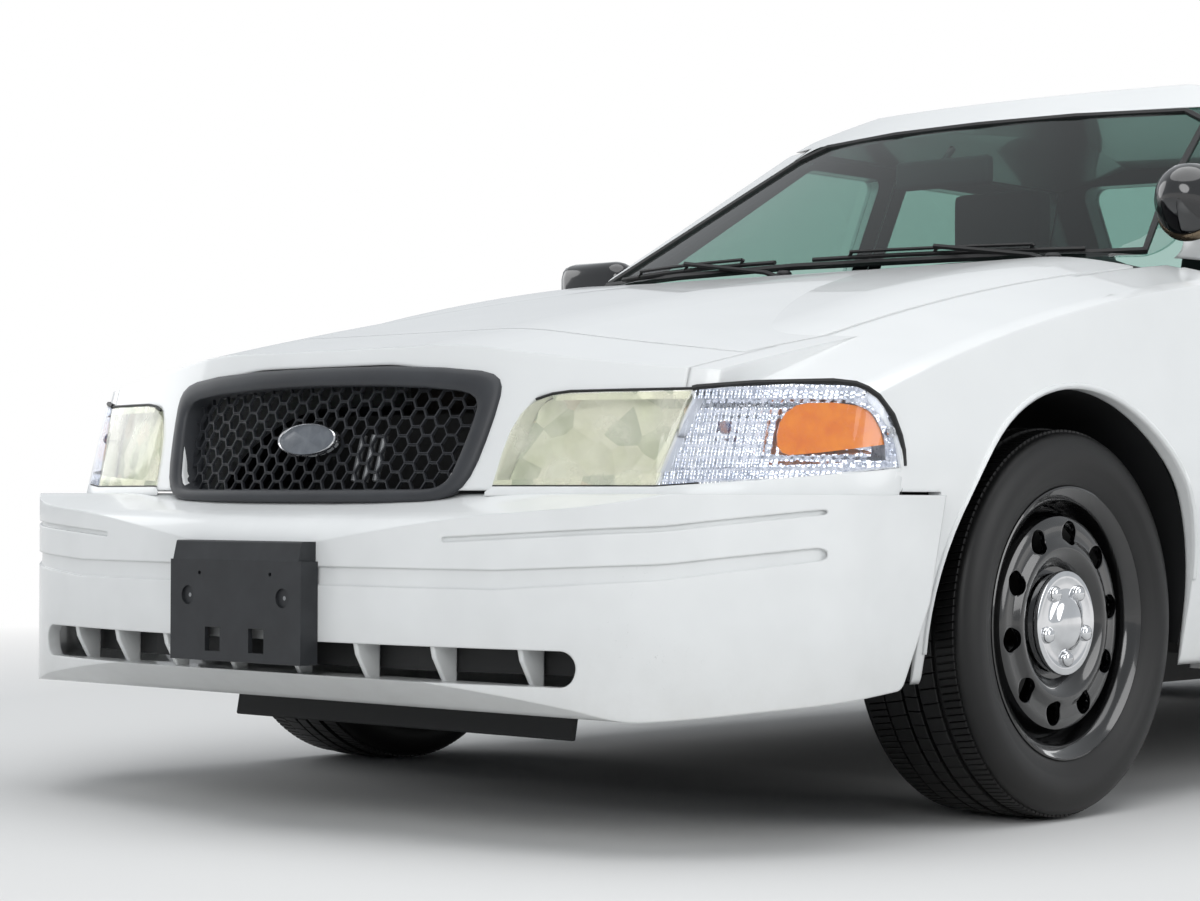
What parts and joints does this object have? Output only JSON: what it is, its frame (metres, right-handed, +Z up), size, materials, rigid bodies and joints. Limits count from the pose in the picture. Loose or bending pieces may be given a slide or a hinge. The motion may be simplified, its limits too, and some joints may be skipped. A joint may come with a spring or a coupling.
{
  "type": "police patrol car",
  "caption": "White full-size patrol sedan with push-out grille, steel wheels, spotlight, opening doors, hood and trunk lid, steered front wheels and turning wheels.",
  "frame": {"origin": "on the ground under the middle of the car's length and width", "axes": "+X to the car's left, -Y to the front, +Z up"},
  "size_m": [2.2204, 5.42, 1.4779],
  "materials": {
    "body_paint": "painted",
    "trim_black": "moulded",
    "trim_grey": "moulded",
    "window_glass": "clear",
    "lamp_glass": "clear",
    "tail_lens": "clear",
    "wheel_paint": "painted",
    "rubber": "moulded",
    "frame_paint": "painted",
    "iron": "cast",
    "alloy": "cast",
    "pipe_steel": "rolled",
    "seat_cloth": "woven",
    "cabin_plastic": "moulded",
    "floor_paint": "painted",
    "spot_shell": "polished"
  },
  "bodies": {
    "body": {"roof": "body_paint", "windscreen": "window_glass", "rear_glass": "window_glass", "nose_panel": "body_paint", "fender_left": "body_paint", "fender_right": "body_paint", "side_frame_left": "body_paint", "side_frame_right": "body_paint", "cowl": "trim_black", "rear_shelf": "body_paint", "front_bumper": "body_paint", "rear_bumper": "body_paint", "headlamps": "lamp_glass", "turn_lamps": "lamp_glass", "tail_lamps": "tail_lens", "grille_surround": "trim_grey", "grille_mesh": "trim_black", "plate_bracket": "trim_grey", "floor_pan": "floor_paint", "chassis_frame": "frame_paint", "engine_block": "iron", "radiator": "alloy", "air_deflector": "trim_black", "intake_panel": "trim_black", "front_suspension": "frame_paint", "rear_axle": "iron", "exhaust": "pipe_steel", "fuel_tank": "frame_paint", "wheel_liners": "trim_black", "dashboard": "cabin_plastic", "front_seats": "seat_cloth", "rear_seat": "seat_cloth", "spotlight": "spot_shell"},
    "hood": {"hood": "body_paint"},
    "trunk_lid": {"trunk_lid": "body_paint"},
    "steering_wheel": {"steering_wheel": "cabin_plastic"},
    "front_door_left": {"door_front_left": "body_paint", "glass_front_left": "window_glass", "mirror_left": "trim_black"},
    "rear_door_left": {"door_rear_left": "body_paint", "glass_rear_left": "window_glass"},
    "knuckle_left": {"knuckle_left": "iron"},
    "front_wheel_left": {"wheel_front_left": "wheel_paint", "tyre_front_left": "rubber"},
    "rear_wheel_left": {"wheel_rear_left": "wheel_paint", "tyre_rear_left": "rubber"},
    "front_door_right": {"door_front_right": "body_paint", "glass_front_right": "window_glass", "mirror_right": "trim_black"},
    "rear_door_right": {"door_rear_right": "body_paint", "glass_rear_right": "window_glass"},
    "knuckle_right": {"knuckle_right": "iron"},
    "front_wheel_right": {"wheel_front_right": "wheel_paint", "tyre_front_right": "rubber"},
    "rear_wheel_right": {"wheel_rear_right": "wheel_paint", "tyre_rear_right": "rubber"}
  },
  "joints": [
    {"name": "front_door_left_hinge", "type": "hinge", "parent": "body", "child": "front_door_left", "pos_m": [0.976, -1.009, 0.64], "axis": [0, 0, 1], "range_deg": [-65, 0]},
    {"name": "rear_door_left_hinge", "type": "hinge", "parent": "body", "child": "rear_door_left", "pos_m": [0.976, 0.067, 0.64], "axis": [0, 0, 1], "range_deg": [-65, 0]},
    {"name": "front_door_right_hinge", "type": "hinge", "parent": "body", "child": "front_door_right", "pos_m": [-0.976, -1.009, 0.64], "axis": [0, 0, 1], "range_deg": [0, 65]},
    {"name": "rear_door_right_hinge", "type": "hinge", "parent": "body", "child": "rear_door_right", "pos_m": [-0.976, 0.067, 0.64], "axis": [0, 0, 1], "range_deg": [0, 65]},
    {"name": "hood_hinge", "type": "hinge", "parent": "body", "child": "hood", "pos_m": [0, -1.145, 1.018], "axis": [1, 0, 0], "range_deg": [-55, 0]},
    {"name": "trunk_lid_hinge", "type": "hinge", "parent": "body", "child": "trunk_lid", "pos_m": [0, 1.405, 1.04], "axis": [1, 0, 0], "range_deg": [0, 80]},
    {"name": "steer_left", "type": "hinge", "parent": "body", "child": "knuckle_left", "pos_m": [0.745, -1.611, 0.338], "axis": [0, 0, 1], "range_deg": [-33, 33]},
    {"name": "steer_right", "type": "hinge", "parent": "body", "child": "knuckle_right", "pos_m": [-0.745, -1.611, 0.338], "axis": [0, 0, 1], "range_deg": [-33, 33]},
    {"name": "front_wheel_left_spin", "type": "hinge", "parent": "knuckle_left", "child": "front_wheel_left", "pos_m": [0.8055, -1.611, 0.338], "axis": [1, 0, 0], "continuous": true},
    {"name": "rear_wheel_left_spin", "type": "hinge", "parent": "body", "child": "rear_wheel_left", "pos_m": [0.825, 1.302, 0.338], "axis": [1, 0, 0], "continuous": true},
    {"name": "front_wheel_right_spin", "type": "hinge", "parent": "knuckle_right", "child": "front_wheel_right", "pos_m": [-0.8055, -1.611, 0.338], "axis": [1, 0, 0], "continuous": true},
    {"name": "rear_wheel_right_spin", "type": "hinge", "parent": "body", "child": "rear_wheel_right", "pos_m": [-0.825, 1.302, 0.338], "axis": [1, 0, 0], "continuous": true},
    {"name": "steering_wheel_turn", "type": "hinge", "parent": "body", "child": "steering_wheel", "pos_m": [0.37, -0.615, 0.88], "axis": [0, 0.9063, 0.4226], "range_deg": [-530, 530]}
  ],
  "couplings": [
    {"joint": "steer_right", "follows": "steer_left", "ratio": 1},
    {"joint": "steering_wheel_turn", "follows": "steer_left", "ratio": 16}
  ]
}
